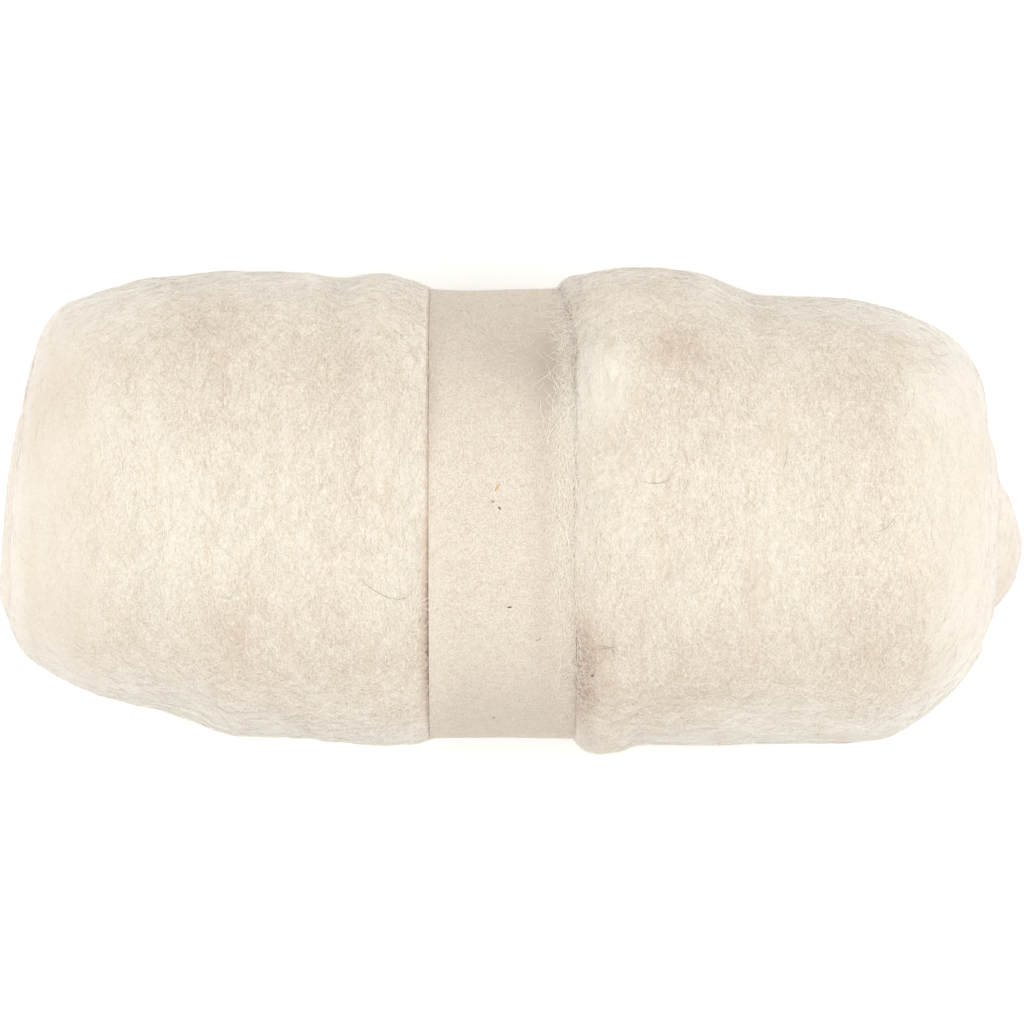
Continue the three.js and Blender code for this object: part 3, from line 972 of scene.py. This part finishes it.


# Each layer of fibres: where it grows, its colours, the shift of its tone, how much of the grooves'
# painted shade it takes on, and its sizes in metres, turns in radians and density per square metre.
FIBRES = (
    dict(
        name="fibres_laid", cover=over_lobes, colours=LAID, shift=0.0, grooves=GROOVE_SHARE,
        Density=420000.0, Length=0.0055, Width=0.00013, Points=4, Spread=1.0, Swirl=1.3,
        Shoulder=0.6, Curl=0.00030, Waves=3.5, Rise=0.00020, Seed=3,
    ),
    dict(
        name="fibres_cream", cover=over_lobes, colours=CREAM, shift=0.0, grooves=GROOVE_SHARE,
        Density=300000.0, Length=0.006, Width=0.00012, Points=5, Spread=1.6, Swirl=1.8,
        Shoulder=0.9, Curl=0.00040, Waves=5.0, Rise=0.00030, Seed=4,
    ),
    dict(
        name="fibres_pale", cover=clear_of_edge, colours=PALE, shift=-0.1, grooves=GROOVE_SHARE,
        Density=240000.0, Length=0.006, Width=0.00011, Points=6, Spread=2.2, Swirl=2.2,
        Shoulder=1.2, Curl=0.00055, Waves=7.0, Rise=0.0005, Seed=5,
    ),
    dict(
        name="fibres_curled", cover=clear_of_edge, colours=PALE, shift=-0.2, grooves=GROOVE_SHARE,
        Density=170000.0, Length=0.006, Width=0.00010, Points=8, Spread=3.0, Swirl=3.0,
        Shoulder=0.0, Curl=0.0007, Waves=9.0, Rise=0.0007, Seed=6,
    ),
    dict(
        name="wisps", cover=beside_band, colours=PALE, shift=-0.1, grooves=0.0,
        Density=2400000.0, Length=0.0036, Width=0.00008, Points=7, Spread=3.0, Swirl=2.0,
        Shoulder=0.0, Curl=0.00035, Waves=5.0, Rise=0.0005, Seed=7,
    ),
    dict(
        name="web", cover=over_margin, colours=PALE, shift=0.0, grooves=0.0,
        Density=1300000.0, Length=0.0055, Width=0.00012, Points=7, Spread=1.3, Swirl=1.5,
        Shoulder=0.9, Curl=0.0004, Waves=5.0, Rise=0.0004, Seed=8,
    ),
)


def fibres(tree, name, cover, colours, shift, grooves, **sizes):
    """One layer of loose fibres."""
    material, _, _ = wool_material("wool_" + name, *colours)
    skin = growing_skin(cover)
    mesh = grown(skin, {**sizes, "Wool": material}, tree)
    bpy.data.objects.remove(skin)
    keep_tone(mesh, shift, FIBRE_SPREAD, grooves)
    keep_wrap_map(mesh)
    mesh.shade_smooth()
    mesh.name = name
    piece = place(name, mesh)
    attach(piece, "root")
    return piece


# The band: one paper strip, wound round the waist and lapped on itself underneath.
# Painted shade on the paper, where the band turns away from the light and beside the wool, and painted
# light where the strength is below 0: place along the roll, angle round it, reach along, reach in
# degrees, strength.
PAPER_PAINTED_SHADE_AND_LIGHT = (
    (0.0, 38, 40.0, 26, 0.30),
    (0.0, 153, 40.0, 22, 0.25),
    (9.0, 49, 6.0, 15, 0.62),
    (7.5, 80, 3.0, 30, 0.22),
    (7.5, 120, 3.5, 22, 0.18),
    (-20.0, 122, 4.0, 45, -0.40),
    (-19.5, 58, 2.2, 18, 0.40),
    (-2.0, 45, 7.0, 9, 0.25),
)


def strip_rings():
    """Rings of the strip's section, from its under end to its upper one, and its path."""
    turn = np.linspace(0, 360 + LAP, STRIP_STEPS)
    degrees = LAP_START + turn
    x = np.linspace(BAND["left"], BAND["right"], STRIP_ACROSS)
    points, outward = band_outline(degrees)
    points = points + x[:, None, None] * (1, 0, 0)
    along, round_it = points[..., 0], degrees[None, :] + 0 * points[..., 0]
    offset = STRIP_UNDER + (STRIP_OVER - STRIP_UNDER) * smooth(turn, LAP, 70)[None, :]
    near_lap = 1 - smooth(turn, 340, 365)[None, :]
    buckle = 0.14 * lattice_noise(along, round_it, 13, 11, 41)
    buckle = buckle + 0.07 * lattice_noise(along, round_it, 6, 27, 42)
    trough = smooth(along, 6, 13) * np.exp(-(((round_it % 360) - 78) / 42) ** 2)
    offset = offset + (buckle - 0.2 * trough) * smooth(turn, 20, 60)[None, :] * near_lap
    faces = []
    for side in (1, -1):
        depth = offset + side * PAPER / 2
        face = points + outward * depth[..., None]
        face[..., 2] = np.maximum(face[..., 2], BAND_LIFT - depth)
        faces.append(face)
    outer, inner = (face.transpose(1, 0, 2) for face in faces)
    return np.concatenate([outer[:, ::-1], inner], axis=1), points


def keep_painted_light(mesh):
    """Stores the painted shade and light, and the veil of fibres, on each point of the band."""
    points = points_of(mesh)
    degrees, _ = round_place(points)
    shade = np.zeros(len(points))
    for place_x, angle, along, around, amount in PAPER_PAINTED_SHADE_AND_LIGHT:
        turn = (degrees - angle + 180) % 360 - 180
        shade += amount * np.exp(-(((points[:, 0] / MM - place_x) / along) ** 2) - (turn / around) ** 2)
    keep_values(mesh, "shade", shade)
    keep_values(mesh, "veil", veil(points[:, 0] / MM, degrees))


def paper_band():
    """The strip round the waist, a sheet of paper."""
    rings, path = strip_rings()
    mesh = closed_mesh("band_paper", rings)
    keep_painted_light(mesh)
    keep_tone(mesh)
    mesh.set_sharp_from_angle(angle=math.radians(40))
    piece = place("band_paper", mesh, paper())
    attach(piece, "root")
    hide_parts("band")
    return piece


# Stray dark hairs on the wool as they lie seen from above: where one starts along and across the
# roll, its heading, length, how far it turns on its way, and how far it curls towards its end.
HAIRS = (
    (-36.3, -16.2, -42, 17.0, 30, 200),
    (85.8, -5.1, -10, 7.6, 110, -60),
    (101.1, 40.3, -115, 7.7, 200, -50),
    (20.1, -33.3, 16, 6.4, -25, -250),
    (20.5, -32.2, -4, 4.6, -10, 30),
    (65.7, 16.5, -82, 7.5, -35, 10),
    (30.4, 7.2, -22, 8.6, 45, 60),
)
HAIR_WIDTH, HAIR_LIFT = 0.08, 0.55
# Flecks of straw and bark: where one lies, its heading, length and width.
STRAW_FLECKS = ((-4.1, 4.6, 58, 1.9, 0.50),)
PAPER_FLECKS = (
    (-4.9, 2.3, -30, 0.7, 0.30),
    (-3.3, 0.9, -50, 1.0, 0.42),
    (-1.1, -23.3, 10, 1.1, 0.42),
    (-4.8, -50.2, 5, 0.7, 0.45),
    (5.6, -31.5, 30, 1.9, 0.12),
)
WOOL_FLECKS = ((19.2, -39.5, 20, 0.6, 0.5),)
FLECK_THICKNESS = 0.12


def sliver(carrier, row, width, thickness, lift, steps):
    """Rings of one hair or fleck, laid on the carrier from above and pointed at both ends."""
    x, y, heading, length, turn, curl = row
    share = np.linspace(0, 1, steps)
    angle = np.radians(heading + turn * share + curl * share**4)
    step = length / (steps - 1)
    walk = np.stack([np.cos(angle), np.sin(angle)], axis=-1) * step
    path = np.array([x, y]) + np.vstack([[0, 0], np.cumsum(walk[:-1], axis=0)])
    around = np.arange(6) / 6 * 2 * math.pi
    rings = []
    for (px, py), way, k in zip(path, angle, share):
        spot, normal, _, _ = carrier.ray_cast((px * MM, py * MM, 0.2), (0, 0, -1))
        normal = np.array(normal)
        side = np.cross(normal, (math.cos(way), math.sin(way), 0))
        side /= np.linalg.norm(side)
        slim = max(0.15, 1 - abs(2 * k - 1) ** 3)
        centre = np.array(spot) / MM + normal * lift
        across = np.cos(around)[:, None] * side * width / 2
        rings.append(centre + slim * (across + np.sin(around)[:, None] * normal * thickness / 2))
    return rings


def slivers(name, carrier, rows, colour, lift, thickness=None, steps=28):
    """One piece holding all the hairs or flecks of the table rows."""
    tree = BVHTree.FromPolygons([v.co for v in carrier.vertices], [p.vertices for p in carrier.polygons])
    parts = []
    for *line, width in rows:
        line = (*line, 0, 0)[:6]
        parts.append(closed_mesh(name, sliver(tree, line, width, thickness or width, lift, steps)))
    piece = place(name, joined(name, parts), plain("colour_" + name, colour, 0.7))
    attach(piece, "root")
    return piece


def strays(wool, band):
    """The hairs and flecks that show on the wool and on the paper."""
    hairs = [(*row, HAIR_WIDTH) for row in HAIRS]
    slivers("stray_hairs", wool, hairs, HAIR, HAIR_LIFT)
    slivers("wool_flecks", wool, WOOL_FLECKS, BARK, HAIR_LIFT, FLECK_THICKNESS, 7)
    slivers("paper_flecks", band, PAPER_FLECKS, BARK, 0.0, FLECK_THICKNESS, 7)
    slivers("straw_fleck", band, STRAW_FLECKS, STRAW, 0.0, FLECK_THICKNESS, 9)


def soft_light(name, spot, aim, size, power):
    """A rectangular lamp at spot that points at aim."""
    light = bpy.data.lights.new(name, "AREA")
    light.shape, light.size, light.size_y, light.energy = "RECTANGLE", *size, power
    lamp = bpy.data.objects.new(name, light)
    lamp.location = spot
    lamp.rotation_euler = (Vector(aim) - Vector(spot)).to_track_quat("-Z", "Y").to_euler()
    bpy.context.scene.collection.objects.link(lamp)


def studio():
    """A white table that glows faintly, a bright even room, and two large soft lights beyond the
    roll's ends."""
    scene = bpy.context.scene
    scene.view_settings.view_transform = "Standard"
    world = scene.world or bpy.data.worlds.new("Room")
    scene.world = world
    world.use_nodes = True
    background = world.node_tree.nodes["Background"]
    background.inputs["Color"].default_value = (1, 1, 1, 1)
    background.inputs["Strength"].default_value = ROOM_LIGHT
    corners = [(x * TABLE_HALF, y * TABLE_HALF, 0) for x, y in ((-1, -1), (1, -1), (1, 1), (-1, 1))]
    mesh = bpy.data.meshes.new("floor")
    mesh.from_pydata(corners, [], [(0, 1, 2, 3)])
    material, _, shader = new_material("floor_white")
    shader.inputs["Base Color"].default_value = (0.97, 0.97, 0.97, 1)
    shader.inputs["Emission Color"].default_value = (1, 1, 1, 1)
    shader.inputs["Emission Strength"].default_value = TABLE_GLOW
    shader.inputs["Roughness"].default_value = 0.9
    shader.inputs["Specular IOR Level"].default_value = 0.0
    floor = place("floor", mesh, material)
    for name, side, power in (("left", -1, LEFT_LIGHT), ("right", 1, RIGHT_LIGHT)):
        spot = (side * LAMP_AWAY, 0.0, LAMP_UP)
        soft_light("soft_" + name, spot, (0, 0, ROLL_MIDDLE), LAMP_SIZE, power)


def camera():
    """Looks straight down on the roll, with the photo's upper edge towards the back."""
    data = bpy.data.cameras.new("Camera")
    data.sensor_width = 36.0
    data.lens = data.sensor_width * CAMERA_HEIGHT / VIEW_WIDTH
    data.clip_end = 50
    eye = bpy.data.objects.new("Camera", data)
    eye.location = (*VIEW_MIDDLE, ROLL_MIDDLE + CAMERA_HEIGHT)
    bpy.context.scene.collection.objects.link(eye)
    bpy.context.scene.camera = eye


camera()
studio()
wool = body_wool()
wool_body(wool)
wool_lip(wool)
band = paper_band()
growing = fibre_tree()
for row in FIBRES:
    fibres(growing, **row)
strays(closed_mesh("skin", wool_rings(0.0, lapped=True)), band.data)
